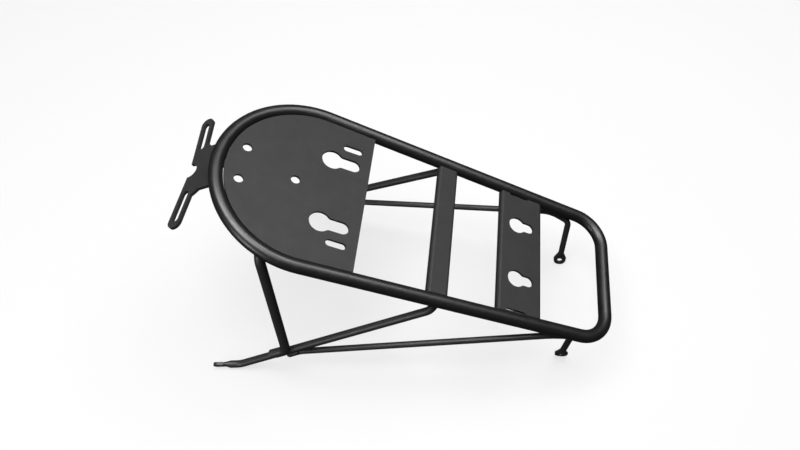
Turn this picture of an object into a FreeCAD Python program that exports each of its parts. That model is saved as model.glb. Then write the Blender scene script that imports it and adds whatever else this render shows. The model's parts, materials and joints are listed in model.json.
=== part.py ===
"""Fixed welded luggage rack of bent steel tube, rod and sheet, with its round front end raised.

Most of it is drawn in the deck frame: origin at the centre of the hoop's front arc, x to the rear
along the deck, y across it, z square to it. stand() then tilts the deck by DECK_PITCH and puts the
four feet on the floor, with the origin under the middle of the rack and +Z up.
Millimetres throughout. "left" is -y and "right" is +y, as for someone facing the round front end.
"""
import FreeCAD, Part
import math
import os

from FreeCAD import Vector

# ---------------------------------------------------------------- driving dimensions
DECK_PITCH = 23.0           # degrees, front end up
DECK_HEIGHT = 181.0         # floor to the deck frame's origin

HOOP_DIAMETER = 12.7        # half-inch tube
HOOP_WALL = 1.2
HOOP_FRONT_RADIUS = 85.0    # centreline
HOOP_LENGTH = 307.9         # centre of the front arc to the rear bar's centreline
HOOP_REAR_HALF_WIDTH = 68.4
HOOP_CORNER_RADIUS = 30.4

SHEET = 2.5                 # thickness of the deck plates
DECK_TOP = 2.6              # top face of the plates above the hoop's centreline
FIT_UP = 0.3                # gap between the hoop and the sheet parts

FRONT_PLATE_REAR = 51.8
FRONT_PLATE_RADIUS = 78.8
FRONT_PLATE_SETBACK = 0.5   # leaves a crescent gap behind the hoop's nose
ROUND_HOLE_RADIUS = 4.3
ROUND_HOLES = [(-63.1, -17.8), (-63.1, 17.8), (-14.8, 0.0)]
FRONT_KEYHOLE = dict(x=14.6, y=35.6, big=10.2, small=6.3, reach=20.7, neck=4.0)
EDGE_SLOT = dict(x=32.1, y=54.2, length=18.8, width=6.8)

MIDDLE_PLATE_X = (121.3, 141.6)
REAR_PLATE_X = (190.6, 236.2)
FLANGE_DEPTH = 6.5          # overall depth of the two folded cross plates
FOLD_RADIUS = 3.0
REAR_KEYHOLE = dict(x=209.1, y=31.0, big=8.8, small=5.5, reach=12.2, neck=3.0)
END_NOTCH_X = (199.8, 219.8)
END_NOTCH_DEPTH = 1.8

BRACKET_SHEET = 3.0
BRACKET_SLOPE = 50.0        # degrees from the deck plane
BRACKET_FOOT = (-99.4, -29.8)         # deck x and z of the point where the arms' axes meet
BRACKET_ARM_WIDTH = 13.6
BRACKET_HALF_SPAN = 64.0
BRACKET_SWEEP = 5.0                   # degrees that each arm bends away from the hoop
BRACKET_STEM_HALF_WIDTH = 25.0
BRACKET_STEM_LENGTH = 32.0
BRACKET_SLOT = dict(y=41.0, length=33.0, width=6.4)
BRACKET_NOTCH_RADIUS = 7.6

LEG_DIAMETER = 7.6
LEG_LOW = Vector(0.0, 99.9, -189.8)    # two points on the right leg's centreline
LEG_HIGH = Vector(127.5, 82.1, -19.4)
LEG_CROSSBAR_DROP = 9.6                # crossbar's centreline below the hoop's
LEG_TOP_BEND = 10.0
LEG_FOOT_BEND = 16.0
LEG_FOOT_LEAN = 14.0                   # degrees that the tab's top edge leans outwards
LEG_FOOT_TOE_OUT = 7.0                 # degrees
LEG_FOOT = dict(hole_at=21.0, width=9.6, thickness=3.2, hole=2.75, tip=6.6, neck=11.0)

ARCH_DIAMETER = 9.2
ARCH_TOP = Vector(-29.2, 80.4, -9.0)
ARCH_ELBOW = Vector(31.8, 98.6, -134.8)
ARCH_TAIL = 18.0
ARCH_TOP_BEND = 12.0
ARCH_ELBOW_BEND = 9.0

STAY_DIAMETER = 6.2
STAY_START_ON_LEG = 55.5               # distance up the leg from LEG_LOW
STAY_OVERLAP = 14.0
STAY_REAR = Vector(254.0, 72.8, -9.6)
STAY_CORNER = Vector(275.6, 67.4, -9.5)
STAY_FOOT_HOLE = Vector(296.9, 57.6, -62.0)
STAY_JOIN_BEND = 20.0
STAY_REAR_BEND = 30.0
STAY_CORNER_BEND = 8.0
STAY_FOOT = dict(width=12.8, thickness=2.4, hole=2.9, tip=6.2, neck=11.0)

# Weld beads of the right-hand side: radius before trimming, then how far they run.
RAIL_BEAD = dict(radius=2.2, inset=4.8, drop=6.2, half_run=4.6)       # leg crossbar to rail
ARCH_BEAD = dict(radius=2.2, inset=4.8, drop=6.0, half_run=5.0)       # arch crossbar to hoop
STAY_BEAD = dict(radius=1.8, start=Vector(257.0, 68.7, -6.7), end=Vector(266.0, 67.9, -6.7))
LAP_BEAD = dict(radius=1.8, sideways=2.8)                             # in the groove of two lapped rods
ARCH_LAP_RUN = (3.0, 13.0)             # from the tail's cut end
STAY_LAP_RUN = (2.0, 12.0)             # from the stay's cut end
PLATE_BEAD = dict(radius=1.9, inset=0.8, z=-1.0)                      # plate edge to rail
PLATE_BEAD_RUNS = {"front_plate_weld": (16.0, 40.0), "middle_plate_weld": (126.5, 136.5),
                   "rear_plate_weld": (195.0, 231.0)}
NOSE_BEAD = dict(radius=1.7, x=-78.0, z=-0.6, y_range=(-7.5, -2.0))
BRACKET_BEAD = dict(radius=2.2, lift=2.2, y_range=(9.0, 22.0), u_range=(29.4, 28.8))

# ---------------------------------------------------------------- frame helpers
X = Vector(1, 0, 0)
Y = Vector(0, 1, 0)
Z = Vector(0, 0, 1)
PITCH = math.radians(DECK_PITCH)
FLOOR_X = Vector(math.cos(PITCH), 0, math.sin(PITCH))     # level, to the rear
FLOOR_UP = Vector(-math.sin(PITCH), 0, math.cos(PITCH))


def unit(v):
    return v * (1.0 / v.Length)


def mirror(shape):
    return shape.mirror(Vector(0, 0, 0), Y)


def height(point):
    """Height of a deck-frame point above the floor."""
    return point.dot(FLOOR_UP) + DECK_HEIGHT


def height_on_line(point, direction, wanted):
    """The point of a line that lies at the wanted height above the floor."""
    return point + direction * ((wanted - height(point)) / direction.dot(FLOOR_UP))


# ---------------------------------------------------------------- shape helpers
def rounded_path(points, radii):
    """Straight runs through the points, joined by a tangent arc at each inner point."""
    edges = []
    start = points[0]
    for i, radius in enumerate(radii, start=1):
        into = unit(points[i] - points[i - 1])
        out = unit(points[i + 1] - points[i])
        half_turn = into.getAngle(out) / 2
        setback = radius * math.tan(half_turn)
        first = points[i] - into * setback
        last = points[i] + out * setback
        bisector = unit(out - into)
        middle = points[i] + bisector * (radius / math.cos(half_turn) - radius)
        edges.append(Part.LineSegment(start, first).toShape())
        edges.append(Part.Arc(first, middle, last).toShape())
        start = last
    edges.append(Part.LineSegment(start, points[-1]).toShape())
    return Part.Wire(edges)


def sweep(path, start, direction, radius):
    ring = Part.Wire([Part.Circle(start, direction, radius).toShape()])
    return path.makePipeShell([ring], True, False)


def rod(points, radii, diameter):
    path = rounded_path(points, radii)
    return sweep(path, points[0], points[1] - points[0], diameter / 2)


def prism(wire, direction):
    return Part.Face(wire).extrude(direction)


def slot_wire(centre, along, across, length, width):
    """Round-ended slot outline; length is end to end."""
    radius = width / 2
    rear = centre + along * (length / 2 - radius)
    front = centre - along * (length / 2 - radius)
    corners = [rear + across * radius, rear - across * radius,
               front - across * radius, front + across * radius]
    rear_arc = Part.Arc(corners[0], rear + along * radius, corners[1])
    front_arc = Part.Arc(corners[2], front - along * radius, corners[3])
    return Part.Wire([rear_arc.toShape(), Part.LineSegment(corners[1], corners[2]).toShape(),
                      front_arc.toShape(), Part.LineSegment(corners[3], corners[0]).toShape()])


def through_deck(wire):
    """A cutter that runs a drawn outline right through a deck plate."""
    return prism(wire, Z * (4 * SHEET))


def keyhole_cutter(spec, side):
    """Round hole with a narrower slot running to the rear."""
    low = -2 * SHEET
    centre = Vector(spec["x"], side * spec["y"], low)
    head = Part.makeCylinder(spec["big"], 4 * SHEET, centre, Z)
    reach = spec["reach"]
    slot = slot_wire(centre + X * (reach / 2), X, Y, reach + 2 * spec["small"], 2 * spec["small"])
    cutter = head.fuse(through_deck(slot)).removeSplitter()
    neck_x = spec["x"] + math.sqrt(spec["big"] ** 2 - spec["small"] ** 2)
    upright = [e for e in cutter.Edges if e.BoundBox.ZLength > SHEET]
    neck_edges = [e for e in upright if abs(e.BoundBox.Center.x - neck_x) < 0.01]
    return cutter.makeFillet(spec["neck"], neck_edges)


def flattened_end(neck, hole, spread, normal, diameter, spec):
    """Squashed end of a rod: round neck, flared transition, flat tab with a round tip and a hole.

    neck is where the round rod stops, hole is the bolt hole's centre, spread is the direction in
    which the tab is wide and normal the way its bolt runs.
    """
    along = unit(hole - neck)
    half_width = spec["width"] / 2
    half_thick = spec["thickness"] / 2
    flat_start = neck + along * (spec["neck"] * 0.62)
    round_ring = quartered_ring(neck, spread, normal, diameter / 2, diameter / 2, 0.0)
    flat_ring = quartered_ring(flat_start, spread, normal, half_width, half_thick,
                               half_width - half_thick)
    flare = Part.makeLoft([round_ring, flat_ring], True, True)
    tip_centre = hole + along * (spec["tip"] - half_width)
    middle = (flat_start + tip_centre) * 0.5
    half_run = (tip_centre - flat_start).Length / 2
    near = [middle - along * half_run + spread * half_width, middle + along * half_run + spread * half_width]
    far = [middle + along * half_run - spread * half_width, middle - along * half_run - spread * half_width]
    tip_arc = Part.Arc(near[1], tip_centre + along * half_width, far[0])
    outline = Part.Wire([Part.LineSegment(near[0], near[1]).toShape(), tip_arc.toShape(),
                         Part.LineSegment(far[0], far[1]).toShape(),
                         Part.LineSegment(far[1], near[0]).toShape()])
    outline.translate(normal * -half_thick)
    tab = prism(outline, normal * spec["thickness"])
    drill_start = hole - normal * (2 * spec["thickness"])
    drill = Part.makeCylinder(spec["hole"], 4 * spec["thickness"], drill_start, normal)
    return flare, tab.cut(drill)


def quartered_ring(centre, wide, thin, half_width, half_thick, flat):
    """Ring of two arcs and two straight (or nearly straight) sides, square to wide and thin.

    With flat = 0 it is a circle cut in four; otherwise a stadium with straight sides 2 * flat long.
    """
    if flat == 0.0:
        spot = math.radians(45)
        side = half_width * math.cos(spot)
        rise = half_thick * math.sin(spot)
    else:
        side = flat
        rise = half_thick
    p = [centre + wide * side + thin * rise, centre + wide * side - thin * rise,
         centre - wide * side - thin * rise, centre - wide * side + thin * rise]
    right = Part.Arc(p[0], centre + wide * half_width, p[1]).toShape()
    left = Part.Arc(p[2], centre - wide * half_width, p[3]).toShape()
    if flat == 0.0:
        low = Part.Arc(p[1], centre - thin * half_thick, p[2]).toShape()
        high = Part.Arc(p[3], centre + thin * half_thick, p[0]).toShape()
    else:
        low = Part.LineSegment(p[1], p[2]).toShape()
        high = Part.LineSegment(p[3], p[0]).toShape()
    return Part.Wire([right, low, left, high])


def sausage(start, end, radius):
    """Weld bead before trimming: a round run with round ends."""
    run = end - start
    body = Part.makeCylinder(radius, run.Length, start, run)
    return body.fuse([Part.makeSphere(radius, start), Part.makeSphere(radius, end)])


def trimmed(bead, parts):
    """What is left of a bead outside the parts that it joins, without crumbs."""
    return max(bead.cut(parts).Solids, key=lambda s: s.Volume)


# ---------------------------------------------------------------- hoop
TAPER = math.atan((HOOP_FRONT_RADIUS - HOOP_REAR_HALF_WIDTH) / HOOP_LENGTH)


def rail_y(x):
    """Half width of the hoop's centreline on its straight rails."""
    tangent_x = HOOP_FRONT_RADIUS * math.sin(TAPER)
    tangent_y = HOOP_FRONT_RADIUS * math.cos(TAPER)
    return tangent_y - (x - tangent_x) * math.tan(TAPER)


def hoop_path():
    tangent_x = HOOP_FRONT_RADIUS * math.sin(TAPER)
    rail_start = Vector(tangent_x, rail_y(tangent_x), 0)
    corner = Vector(HOOP_LENGTH, rail_y(HOOP_LENGTH), 0)
    centre_bar = Vector(HOOP_LENGTH, 0, 0)
    half = rounded_path([rail_start, corner, centre_bar], [HOOP_CORNER_RADIUS])
    other = [e.mirror(Vector(0, 0, 0), Y) for e in half.Edges]
    nose = Part.Arc(Vector(rail_start.x, -rail_start.y, 0), Vector(-HOOP_FRONT_RADIUS, 0, 0), rail_start)
    return Part.Wire(Part.__sortEdges__([nose.toShape()] + half.Edges + other))


def hoop_solid(radius):
    """The whole closed hoop as one round bar of the given radius."""
    return sweep(hoop_path(), Vector(-HOOP_FRONT_RADIUS, 0, 0), Y, radius)


def main_hoop():
    outer = hoop_solid(HOOP_DIAMETER / 2)
    bore = hoop_solid(HOOP_DIAMETER / 2 - HOOP_WALL)
    return outer.cut(bore)


# ---------------------------------------------------------------- sheet parts
def fitted(blank, cutter):
    """A plate blank trimmed to the inside of the hoop."""
    return max(blank.cut(cutter).Solids, key=lambda s: s.Volume)


def front_plate(cutter):
    low = DECK_TOP - SHEET
    centre = Vector(FRONT_PLATE_SETBACK, 0, low)
    side = Vector(centre.x, FRONT_PLATE_RADIUS, low)
    other_side = Vector(centre.x, -FRONT_PLATE_RADIUS, low)
    rear = Vector(FRONT_PLATE_REAR, FRONT_PLATE_RADIUS, low)
    other_rear = Vector(FRONT_PLATE_REAR, -FRONT_PLATE_RADIUS, low)
    nose = Part.Arc(other_side, centre - X * FRONT_PLATE_RADIUS, side).toShape()
    outline = Part.Wire([nose, Part.LineSegment(side, rear).toShape(),
                         Part.LineSegment(rear, other_rear).toShape(),
                         Part.LineSegment(other_rear, other_side).toShape()])
    blank = prism(outline, Z * SHEET)
    spots = [Vector(x, y, -SHEET) for x, y in ROUND_HOLES]
    holes = [Part.makeCylinder(ROUND_HOLE_RADIUS, 4 * SHEET, spot, Z) for spot in spots]
    for hand in (-1, 1):
        holes.append(keyhole_cutter(FRONT_KEYHOLE, hand))
        spot = Vector(EDGE_SLOT["x"], hand * EDGE_SLOT["y"], -2 * SHEET)
        holes.append(through_deck(slot_wire(spot, X, Y, EDGE_SLOT["length"], EDGE_SLOT["width"])))
    return fitted(blank, cutter).cut(holes)


def folded_plate(x_range, cutter):
    """Cross plate with its front and rear edges folded down."""
    front, rear = x_range
    span = 2 * HOOP_FRONT_RADIUS
    outer = Part.makeBox(rear - front, span, FLANGE_DEPTH, Vector(front, -span / 2, DECK_TOP - FLANGE_DEPTH))
    top_edges = [e for e in outer.Edges if e.BoundBox.YLength > 1 and e.BoundBox.ZMin > DECK_TOP - 0.1]
    outer = outer.makeFillet(FOLD_RADIUS, top_edges)
    inner = Part.makeBox(rear - front - 2 * SHEET, span, FLANGE_DEPTH,
                         Vector(front + SHEET, -span / 2, DECK_TOP - SHEET - FLANGE_DEPTH))
    inner_top = DECK_TOP - SHEET
    inner_edges = [e for e in inner.Edges if e.BoundBox.YLength > 1 and e.BoundBox.ZMin > inner_top - 0.1]
    inner = inner.makeFillet(FOLD_RADIUS - SHEET, inner_edges)
    return fitted(outer.cut(inner), cutter)


def middle_cross_plate(cutter):
    return folded_plate(MIDDLE_PLATE_X, cutter)


def rear_cross_plate(cutter):
    plate = folded_plate(REAR_PLATE_X, cutter)
    holes = [keyhole_cutter(REAR_KEYHOLE, hand) for hand in (-1, 1)]
    notch_front, notch_rear = END_NOTCH_X
    inner_edge = rail_y(notch_rear) - HOOP_DIAMETER / 2 - END_NOTCH_DEPTH
    for hand in (-1, 1):
        y_low = min(hand * inner_edge, hand * HOOP_FRONT_RADIUS)
        notch = Part.makeBox(notch_rear - notch_front, HOOP_FRONT_RADIUS - inner_edge, 6 * SHEET,
                             Vector(notch_front, y_low, -2 * SHEET))
        upright = [e for e in notch.Edges if e.BoundBox.ZLength > 1]
        holes.append(notch.makeFillet(1.0, upright))
    return plate.cut(holes)


SLOPE = math.radians(BRACKET_SLOPE)
UP_STEM = Vector(math.cos(SLOPE), 0, math.sin(SLOPE))
BRACKET_FACE = Vector(-math.sin(SLOPE), 0, math.cos(SLOPE))


def bracket_point(y, u, lift=0.0):
    """A point given across the bracket, up its stem and off its middle plane."""
    return Vector(BRACKET_FOOT[0], y, BRACKET_FOOT[1]) + UP_STEM * u + BRACKET_FACE * lift


def arm_axes(hand):
    """Directions along and across one arm of the bracket."""
    sweep_angle = math.radians(BRACKET_SWEEP)
    outwards = Y * (hand * math.cos(sweep_angle)) - UP_STEM * math.sin(sweep_angle)
    return outwards, unit(BRACKET_FACE.cross(outwards))


def front_bracket(cutter):
    """Sheet with two slotted arms and a stem that runs up to the underside of the hoop's nose."""
    half_arm = BRACKET_ARM_WIDTH / 2
    stem = BRACKET_STEM_HALF_WIDTH
    below = -BRACKET_SHEET / 2
    haunch = 5.0
    outline = [(-stem - haunch, half_arm - 2.0), (-stem, half_arm + haunch - 1.0),
               (-stem, BRACKET_STEM_LENGTH), (stem, BRACKET_STEM_LENGTH),
               (stem, half_arm + haunch - 1.0), (stem + haunch, half_arm - 2.0), (0, 0.5 - half_arm)]
    corners = [bracket_point(y, u, below) for y, u in outline]
    body = prism(Part.makePolygon(corners + corners[:1]), BRACKET_FACE * BRACKET_SHEET)
    cuts = [Part.makeCylinder(BRACKET_NOTCH_RADIUS, 4 * BRACKET_SHEET,
                              bracket_point(0, -half_arm, -2 * BRACKET_SHEET), BRACKET_FACE)]
    for hand in (-1, 1):
        outwards, across = arm_axes(hand)
        root = bracket_point(0, 0, below)
        arm = slot_wire(root + outwards * ((BRACKET_HALF_SPAN - half_arm) / 2), outwards, across,
                        BRACKET_HALF_SPAN + half_arm, BRACKET_ARM_WIDTH)
        body = body.fuse(prism(arm, BRACKET_FACE * BRACKET_SHEET))
        slot_centre = root + outwards * BRACKET_SLOT["y"] - BRACKET_FACE * BRACKET_SHEET
        slot = slot_wire(slot_centre, outwards, across, BRACKET_SLOT["length"], BRACKET_SLOT["width"])
        cuts.append(prism(slot, BRACKET_FACE * (3 * BRACKET_SHEET)))
    return max(body.removeSplitter().cut(cuts).cut(cutter).Solids, key=lambda s: s.Volume)


# ---------------------------------------------------------------- bent rods
LEG_RUN = unit(LEG_HIGH - LEG_LOW)


def leg_foot_axes():
    """Directions along, up and through the right leg's foot tab."""
    toe = math.radians(LEG_FOOT_TOE_OUT)
    lean = math.radians(LEG_FOOT_LEAN)
    along = FLOOR_X * -math.cos(toe) + Y * math.sin(toe)
    outwards = unit(along.cross(FLOOR_UP) if along.cross(FLOOR_UP).y > 0 else FLOOR_UP.cross(along))
    spread = FLOOR_UP * math.cos(lean) + outwards * math.sin(lean)
    return along, spread, unit(along.cross(spread))


def leg_points():
    """Foot's neck, ankle and knee of the right leg, and the middle of the crossbar."""
    lean = math.radians(LEG_FOOT_LEAN)
    half_height = LEG_FOOT["width"] / 2 * math.cos(lean) + LEG_FOOT["thickness"] / 2 * math.sin(lean)
    ankle = height_on_line(LEG_LOW, LEG_RUN, half_height)
    knee = LEG_HIGH + LEG_RUN * ((-LEG_CROSSBAR_DROP - LEG_HIGH.z) / LEG_RUN.z)
    neck = ankle + leg_foot_axes()[0] * (LEG_FOOT["hole_at"] - LEG_FOOT["neck"])
    return neck, ankle, knee, Vector(knee.x, 0, knee.z)


def main_legs():
    """One rod: foot, leg, crossbar under the rails, leg, foot."""
    neck, ankle, knee, middle = leg_points()
    along, spread, normal = leg_foot_axes()
    half = rod([neck, ankle, knee, middle], [LEG_FOOT_BEND, LEG_TOP_BEND], LEG_DIAMETER)
    flare, tab = flattened_end(neck, neck + along * LEG_FOOT["neck"], spread, normal, LEG_DIAMETER, LEG_FOOT)
    side = half.fuse([flare, tab])
    return side.fuse(mirror(side)).removeSplitter()


def front_arch():
    """One rod: tail along the leg, elbow, upright, crossbar under the hoop, and the same mirrored."""
    tail = ARCH_ELBOW - LEG_RUN * ARCH_TAIL
    middle = Vector(ARCH_TOP.x, 0, ARCH_TOP.z)
    half = rod([tail, ARCH_ELBOW, ARCH_TOP, middle], [ARCH_ELBOW_BEND, ARCH_TOP_BEND], ARCH_DIAMETER)
    return half.fuse(mirror(half)).removeSplitter()


def stay_points():
    """Centreline of the right stay, from its cut end on the leg to its bolt hole."""
    leg_spot = LEG_LOW + LEG_RUN * STAY_START_ON_LEG
    under_leg = unit(LEG_RUN.cross(Y))
    apart = (LEG_DIAMETER + STAY_DIAMETER) / 2
    start = leg_spot - under_leg * apart if under_leg.z > 0 else leg_spot + under_leg * apart
    leave = start + LEG_RUN * STAY_OVERLAP
    leg_down = unit(STAY_FOOT_HOLE - STAY_CORNER)
    lean = leg_down.y
    bottom = STAY_FOOT["tip"] * math.sqrt(1 - lean * lean) + STAY_FOOT["thickness"] / 2 * abs(lean)
    hole = height_on_line(STAY_FOOT_HOLE, leg_down, bottom)
    return start, leave, STAY_REAR, STAY_CORNER, hole


def rear_stay_right():
    """One rod: starts along the leg, runs back under the rail, turns down to its own foot."""
    start, leave, rear, corner, hole = stay_points()
    down = unit(hole - corner)
    neck = hole - down * STAY_FOOT["neck"]
    body = rod([start, leave, rear, corner, neck], [STAY_JOIN_BEND, STAY_REAR_BEND, STAY_CORNER_BEND],
               STAY_DIAMETER)
    spread = unit(FLOOR_X - down * FLOOR_X.dot(down))
    flare, tab = flattened_end(neck, hole, spread, unit(down.cross(spread)), STAY_DIAMETER, STAY_FOOT)
    return body.fuse([flare, tab]).removeSplitter()


# ---------------------------------------------------------------- weld beads
def rail_spot(x):
    """The point at x on the right side of the hoop's centreline, and which way the tube runs."""
    tangent_x = HOOP_FRONT_RADIUS * math.sin(TAPER)
    if x > tangent_x:
        return Vector(x, rail_y(x), 0), Vector(math.cos(TAPER), -math.sin(TAPER), 0)
    y = math.sqrt(HOOP_FRONT_RADIUS ** 2 - x ** 2)
    return Vector(x, y, 0), Vector(y, -x, 0) * (1 / HOOP_FRONT_RADIUS)


def crossing_bead(x, spec):
    """Bead along the hoop's inner underside where a crossbar runs beneath it."""
    centre, along = rail_spot(x)
    inwards = along.cross(Z)
    middle = centre + inwards * spec["inset"] - Z * spec["drop"]
    return sausage(middle - along * spec["half_run"], middle + along * spec["half_run"], spec["radius"])


def lap_bead(cut_end, run):
    """Bead in the outer groove between the right leg and a rod that lies along it."""
    on_leg = LEG_LOW + LEG_RUN * (cut_end - LEG_LOW).dot(LEG_RUN)
    towards = unit(cut_end - on_leg)
    sideways = unit(LEG_RUN.cross(towards))
    if sideways.y < 0:
        sideways = sideways * -1
    groove = on_leg + towards * (LEG_DIAMETER / 2) + sideways * LAP_BEAD["sideways"]
    return sausage(groove + LEG_RUN * run[0], groove + LEG_RUN * run[1], LAP_BEAD["radius"])


def edge_bead(x_range):
    """Bead between the end or side of a deck plate and the right rail."""
    ends = [Vector(x, rail_y(x) - HOOP_DIAMETER / 2 - PLATE_BEAD["inset"], PLATE_BEAD["z"]) for x in x_range]
    return sausage(ends[0], ends[1], PLATE_BEAD["radius"])


def weld_beads(parts):
    """Every bead of the rack, each trimmed to what it joins."""
    hoop = hoop_solid(HOOP_DIAMETER / 2)
    knee_x = leg_points()[2].x
    lowest, highest = BRACKET_BEAD["y_range"]
    low_u, high_u = BRACKET_BEAD["u_range"]
    beads = {
        "leg_rail_weld": (crossing_bead(knee_x, RAIL_BEAD), ["main_legs", "middle_cross_plate"]),
        "arch_hoop_weld": (crossing_bead(ARCH_TOP.x, ARCH_BEAD), ["front_arch"]),
        "stay_rail_weld": (sausage(STAY_BEAD["start"], STAY_BEAD["end"], STAY_BEAD["radius"]),
                           ["rear_stay_right"]),
        "arch_leg_weld": (lap_bead(ARCH_ELBOW - LEG_RUN * ARCH_TAIL, ARCH_LAP_RUN),
                          ["front_arch", "main_legs"]),
        "stay_leg_weld": (lap_bead(stay_points()[0], STAY_LAP_RUN), ["rear_stay_right", "main_legs"]),
        "bracket_weld": (sausage(bracket_point(lowest, low_u, BRACKET_BEAD["lift"]),
                                 bracket_point(highest, high_u, BRACKET_BEAD["lift"]),
                                 BRACKET_BEAD["radius"]), ["front_bracket"]),
    }
    for name, x_range in PLATE_BEAD_RUNS.items():
        plates = ["front_plate", "middle_cross_plate", "rear_cross_plate"]
        beads[name] = (edge_bead(x_range), plates)
    made = {}
    for name, (bead, joined) in beads.items():
        made[name + "_right"] = trimmed(bead, [hoop] + [parts[other] for other in joined])
        made[name + "_left"] = mirror(made[name + "_right"])
    ends = [Vector(NOSE_BEAD["x"], y, NOSE_BEAD["z"]) for y in NOSE_BEAD["y_range"]]
    tack = sausage(ends[0], ends[1], NOSE_BEAD["radius"])
    made["front_plate_nose_tack"] = trimmed(tack, [hoop, parts["front_plate"]])
    return made


# ---------------------------------------------------------------- placing
def stand(shape, shift):
    tilt = FreeCAD.Placement(shift, FreeCAD.Rotation(Y, DECK_PITCH))
    placed = shape.copy()
    placed.transformShape(tilt.toMatrix(), True)
    return placed


def build():
    cutter = hoop_solid(HOOP_DIAMETER / 2 + FIT_UP)
    parts = {
        "main_hoop": main_hoop(),
        "front_plate": front_plate(cutter),
        "middle_cross_plate": middle_cross_plate(cutter),
        "rear_cross_plate": rear_cross_plate(cutter),
        "front_bracket": front_bracket(cutter),
        "main_legs": main_legs(),
        "front_arch": front_arch(),
        "rear_stay_right": rear_stay_right(),
    }
    parts["rear_stay_left"] = mirror(parts["rear_stay_right"])
    parts.update(weld_beads(parts))
    return parts


def main():
    parts = build()
    raised = {name: stand(shape, Vector(0, 0, DECK_HEIGHT)) for name, shape in parts.items()}
    box = Part.makeCompound(list(raised.values())).optimalBoundingBox(False, False)
    shift = Vector(-(box.XMin + box.XMax) / 2, 0, -box.ZMin)
    os.makedirs("parts", exist_ok=True)
    for name, shape in raised.items():
        shape.translate(shift)
        shape.exportStep("parts/" + name + ".step")
        print(name, "valid", shape.isValid(), "solids", len(shape.Solids), "volume", round(shape.Volume))


main()
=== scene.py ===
import bpy
import json
import math
from mathutils import Matrix, Vector


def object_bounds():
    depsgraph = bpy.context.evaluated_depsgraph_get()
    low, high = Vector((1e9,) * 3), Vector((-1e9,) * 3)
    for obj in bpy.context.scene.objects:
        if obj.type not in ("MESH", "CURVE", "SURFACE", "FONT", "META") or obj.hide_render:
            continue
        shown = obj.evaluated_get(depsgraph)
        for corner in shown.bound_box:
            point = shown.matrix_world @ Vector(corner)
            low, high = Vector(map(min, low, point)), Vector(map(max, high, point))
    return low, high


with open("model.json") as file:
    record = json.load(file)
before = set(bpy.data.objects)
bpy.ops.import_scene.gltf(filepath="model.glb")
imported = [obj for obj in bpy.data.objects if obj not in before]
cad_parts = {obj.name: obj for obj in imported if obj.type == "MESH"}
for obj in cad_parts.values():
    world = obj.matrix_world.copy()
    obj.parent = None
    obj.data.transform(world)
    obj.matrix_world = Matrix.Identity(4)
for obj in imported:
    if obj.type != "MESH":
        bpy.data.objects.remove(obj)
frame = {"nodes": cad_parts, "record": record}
cad_low, cad_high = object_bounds()

# ---------------------------------------------------------------- materials
# Colours are linear RGB. A noise scale is lumps per metre, and a bump distance is in metres.

GLOSSIER = 0.05  # how far the roughness of a powder coat falls in its glossy patches
DULLER = 0.06  # and how far it rises in the dull ones


def shader(name, colour, roughness, specular):
    """A new material with a Principled shader: the material and its shader node."""
    mat = bpy.data.materials.new(name)
    mat.use_nodes = True
    bsdf = mat.node_tree.nodes["Principled BSDF"]
    bsdf.inputs["Base Color"].default_value = (*colour, 1.0)
    bsdf.inputs["Roughness"].default_value = roughness
    bsdf.inputs["Specular IOR Level"].default_value = specular
    return mat, bsdf


def object_coords(tree):
    """The point on the surface, in metres in the object's own frame."""
    return tree.nodes.new("ShaderNodeTexCoord").outputs["Object"]


def noise(tree, coords, scale, detail=2.0):
    """Noise over the piece."""
    node = tree.nodes.new("ShaderNodeTexNoise")
    node.inputs["Scale"].default_value = scale
    node.inputs["Detail"].default_value = detail
    tree.links.new(coords, node.inputs["Vector"])
    return node.outputs["Fac"]


def ranged(tree, value, low, high, start=0.3, end=0.7):
    """A value remapped from start..end to low..high."""
    node = tree.nodes.new("ShaderNodeMapRange")
    node.inputs["From Min"].default_value = start
    node.inputs["From Max"].default_value = end
    node.inputs["To Min"].default_value = low
    node.inputs["To Max"].default_value = high
    tree.links.new(value, node.inputs["Value"])
    return node.outputs["Result"]


def bumped(tree, height, strength, distance, normal=None):
    """A bump, on top of another one if normal is given."""
    node = tree.nodes.new("ShaderNodeBump")
    node.inputs["Strength"].default_value = strength
    node.inputs["Distance"].default_value = distance
    tree.links.new(height, node.inputs["Height"])
    if normal is not None:
        tree.links.new(normal, node.inputs["Normal"])
    return node.outputs["Normal"]


def mottled(tree, coords, colour, spread, scale):
    """The colour, darker and lighter in patches by up to the spread."""
    node = tree.nodes.new("ShaderNodeMix")
    node.data_type = "RGBA"
    node.inputs["A"].default_value = (*[c * (1 - spread) for c in colour], 1.0)
    node.inputs["B"].default_value = (*[c * (1 + spread) for c in colour], 1.0)
    patches = ranged(tree, noise(tree, coords, scale), low=0.0, high=1.0)
    tree.links.new(patches, node.inputs["Factor"])
    return node.outputs["Result"]


def powder_coat(name, colour, roughness, specular, grain, ripple):
    """Powder-coated steel: fine orange peel over slow waves, with patchy gloss and shade."""
    mat, bsdf = shader(name, colour, roughness, specular)
    tree = mat.node_tree
    coords = object_coords(tree)
    shade = mottled(tree, coords, colour, spread=0.08, scale=55.0)
    patches = noise(tree, coords, scale=130.0, detail=4.0)
    gloss = ranged(tree, patches, low=roughness - GLOSSIER, high=roughness + DULLER)
    waves = bumped(tree, noise(tree, coords, scale=160.0), strength=ripple, distance=0.0004)
    pimples = noise(tree, coords, scale=1500.0, detail=3.0)
    peel = bumped(tree, pimples, strength=grain, distance=0.00012, normal=waves)
    tree.links.new(shade, bsdf.inputs["Base Color"])
    tree.links.new(gloss, bsdf.inputs["Roughness"])
    tree.links.new(peel, bsdf.inputs["Normal"])
    return mat


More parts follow.
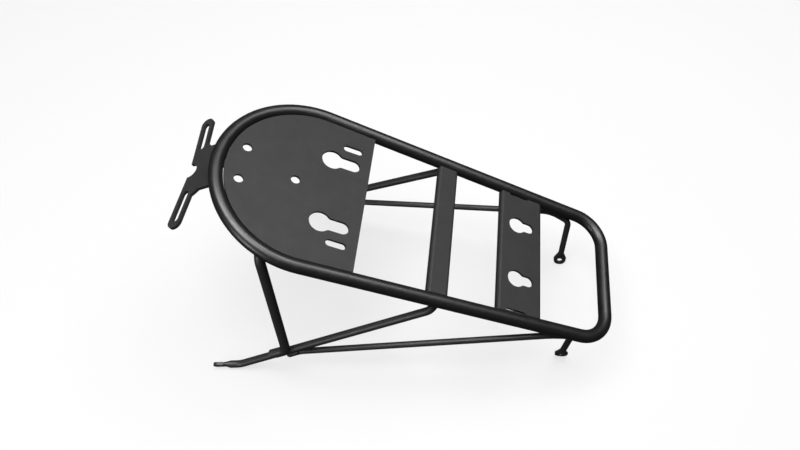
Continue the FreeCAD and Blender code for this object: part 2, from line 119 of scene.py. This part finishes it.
def weld_coat(name, colour, roughness, specular):
    """Powder coat over the ripples and lumps of a weld bead."""
    mat, bsdf = shader(name, colour, roughness, specular)
    tree = mat.node_tree
    coords = object_coords(tree)
    rings = tree.nodes.new("ShaderNodeTexWave")
    rings.wave_type = "BANDS"
    rings.bands_direction = "DIAGONAL"
    rings.inputs["Scale"].default_value = 130.0
    rings.inputs["Distortion"].default_value = 2.5
    rings.inputs["Detail"].default_value = 2.0
    tree.links.new(coords, rings.inputs["Vector"])
    ripples = bumped(tree, rings.outputs["Fac"], strength=0.6, distance=0.0006)
    lumps = noise(tree, coords, scale=420.0, detail=3.0)
    bead = bumped(tree, lumps, strength=0.4, distance=0.0004, normal=ripples)
    shade = mottled(tree, coords, colour, spread=0.15, scale=300.0)
    tree.links.new(shade, bsdf.inputs["Base Color"])
    tree.links.new(bead, bsdf.inputs["Normal"])
    return mat


COATS = {
    "tube_coat": powder_coat("tube_powder_coat", colour=(0.006, 0.006, 0.0063),
                             roughness=0.36, specular=0.58, grain=0.22, ripple=0.10),
    "rod_coat": powder_coat("rod_powder_coat", colour=(0.022, 0.022, 0.0225),
                            roughness=0.42, specular=0.45, grain=0.25, ripple=0.12),
    "plate_coat": powder_coat("plate_powder_coat", colour=(0.019, 0.019, 0.0195),
                              roughness=0.55, specular=0.25, grain=0.30, ripple=0.10),
    "weld_coat": weld_coat("weld_powder_coat", colour=(0.020, 0.020, 0.021),
                           roughness=0.42, specular=0.45),
}

# ---------------------------------------------------------------- edges and finishes

SHARP_ANGLE = math.radians(32)  # edges that turn more than this stay sharp in the shading
ROUNDED_ANGLE = math.radians(50)  # edges of sheet parts that turn more than this are rounded
EDGE_SEGMENTS = 2
EDGE_WIDTHS = {  # metres
    "front_plate": 0.0004,
    "front_bracket": 0.0005,
    "middle_cross_plate": 0.0003,
    "rear_cross_plate": 0.0003,
}


def round_edges(obj, width):
    """Breaks the edges of a sheet part with a small bevel."""
    bevel = obj.modifiers.new("edge_round", "BEVEL")
    bevel.width = width
    bevel.segments = EDGE_SEGMENTS
    bevel.limit_method = "ANGLE"
    bevel.angle_limit = ROUNDED_ANGLE
    bevel.use_clamp_overlap = True
    bevel.harden_normals = True


slots = {piece["node"]: piece["material_slot"] for piece in frame["record"]["subparts"]}
for name, obj in frame["nodes"].items():
    obj.data.materials.clear()
    obj.data.materials.append(COATS[slots[name]])
    obj.data.set_sharp_from_angle(angle=SHARP_ANGLE)
    if name in EDGE_WIDTHS:
        round_edges(obj, EDGE_WIDTHS[name])

# ---------------------------------------------------------------- floor

FLOOR_HALF = 4.0  # metres, half the side of the square
FLOOR_GAP = 0.0001  # metres below the feet, so that the surfaces don't coincide
FLOOR_GLOW = 0.69  # the floor lights itself evenly, and the lights add the rest

floor_height = cad_low[2] - FLOOR_GAP
corners = [(x * FLOOR_HALF, y * FLOOR_HALF, floor_height) for x, y in ((-1, -1), (1, -1), (1, 1), (-1, 1))]
floor_mesh = bpy.data.meshes.new("floor")
floor_mesh.from_pydata(corners, [], [(0, 1, 2, 3)])
floor = bpy.data.objects.new("floor", floor_mesh)
bpy.context.scene.collection.objects.link(floor)
floor_mat, floor_bsdf = shader("pale_floor", colour=(0.17, 0.17, 0.17), roughness=0.9, specular=0.0)
floor_bsdf.inputs["Emission Color"].default_value = (1.0, 1.0, 1.0, 1.0)
floor_bsdf.inputs["Emission Strength"].default_value = FLOOR_GLOW
floor.data.materials.append(floor_mat)
# The floor sends no light back onto the object and isn't mirrored in it.
floor.visible_glossy = False
floor.visible_diffuse = False

# ---------------------------------------------------------------- lights

OBJECT_MIDDLE = (0, 0, 0.1)  # metres
WORLD_STRENGTH = 0.04


def area_light(name, place, target, size, power):
    """A square soft light at place, turned to the target."""
    lamp = bpy.data.lights.new(name, "AREA")
    lamp.shape = "SQUARE"
    lamp.size = size
    lamp.energy = power
    obj = bpy.data.objects.new(name, lamp)
    turn = (Vector(target) - Vector(place)).to_track_quat("-Z", "Y").to_matrix()
    obj.matrix_world = Matrix.Translation(place) @ turn.to_4x4()
    bpy.context.scene.collection.objects.link(obj)


area_light("overhead_softbox", place=(-0.25, -0.10, 1.5), target=OBJECT_MIDDLE, size=0.9, power=24.0)
area_light("rear_softbox", place=(0.45, 0.35, 1.2), target=(0.1, 0, 0.1), size=0.6, power=7.0)
area_light("high_fill", place=(0.3, 0.2, 2.6), target=OBJECT_MIDDLE, size=3.5, power=52.0)
area_light("low_fill", place=(-0.9, -1.1, 0.5), target=OBJECT_MIDDLE, size=0.5, power=7.0)

world = bpy.data.worlds.new("studio")
world.use_nodes = True
background = world.node_tree.nodes["Background"]
background.inputs["Color"].default_value = (1.0, 1.0, 1.0, 1.0)
background.inputs["Strength"].default_value = WORLD_STRENGTH
bpy.context.scene.world = world

# ---------------------------------------------------------------- camera

CAMERA_PLACE = (0.05059, -0.41486, 0.71787)  # metres
CAMERA_SWING = math.radians(7.972)  # about the vertical, from having +Y upwards in the picture
CAMERA_TILT = math.radians(35.503)  # up from looking straight down
CAMERA_ROLL = math.radians(-2.205)  # about its own line of sight
LENS_MM = 34.18
SENSOR_MM = 36.0
NEAR_CLIP = 0.01  # metres
FAR_CLIP = 20.0

camera_data = bpy.data.cameras.new("camera")
camera_data.lens = LENS_MM
camera_data.sensor_width = SENSOR_MM
camera_data.sensor_fit = "HORIZONTAL"
camera_data.clip_start = NEAR_CLIP
camera_data.clip_end = FAR_CLIP
camera = bpy.data.objects.new("camera", camera_data)
swing = Matrix.Rotation(CAMERA_SWING, 4, "Z")
tilt = Matrix.Rotation(CAMERA_TILT, 4, "X")
roll = Matrix.Rotation(CAMERA_ROLL, 4, "Z")
camera.matrix_world = Matrix.Translation(CAMERA_PLACE) @ swing @ tilt @ roll
bpy.context.scene.collection.objects.link(camera)
bpy.context.scene.camera = camera

# Standard keeps the thin dark rods from being eaten into by the bright floor around them.
bpy.context.scene.view_settings.view_transform = "Standard"
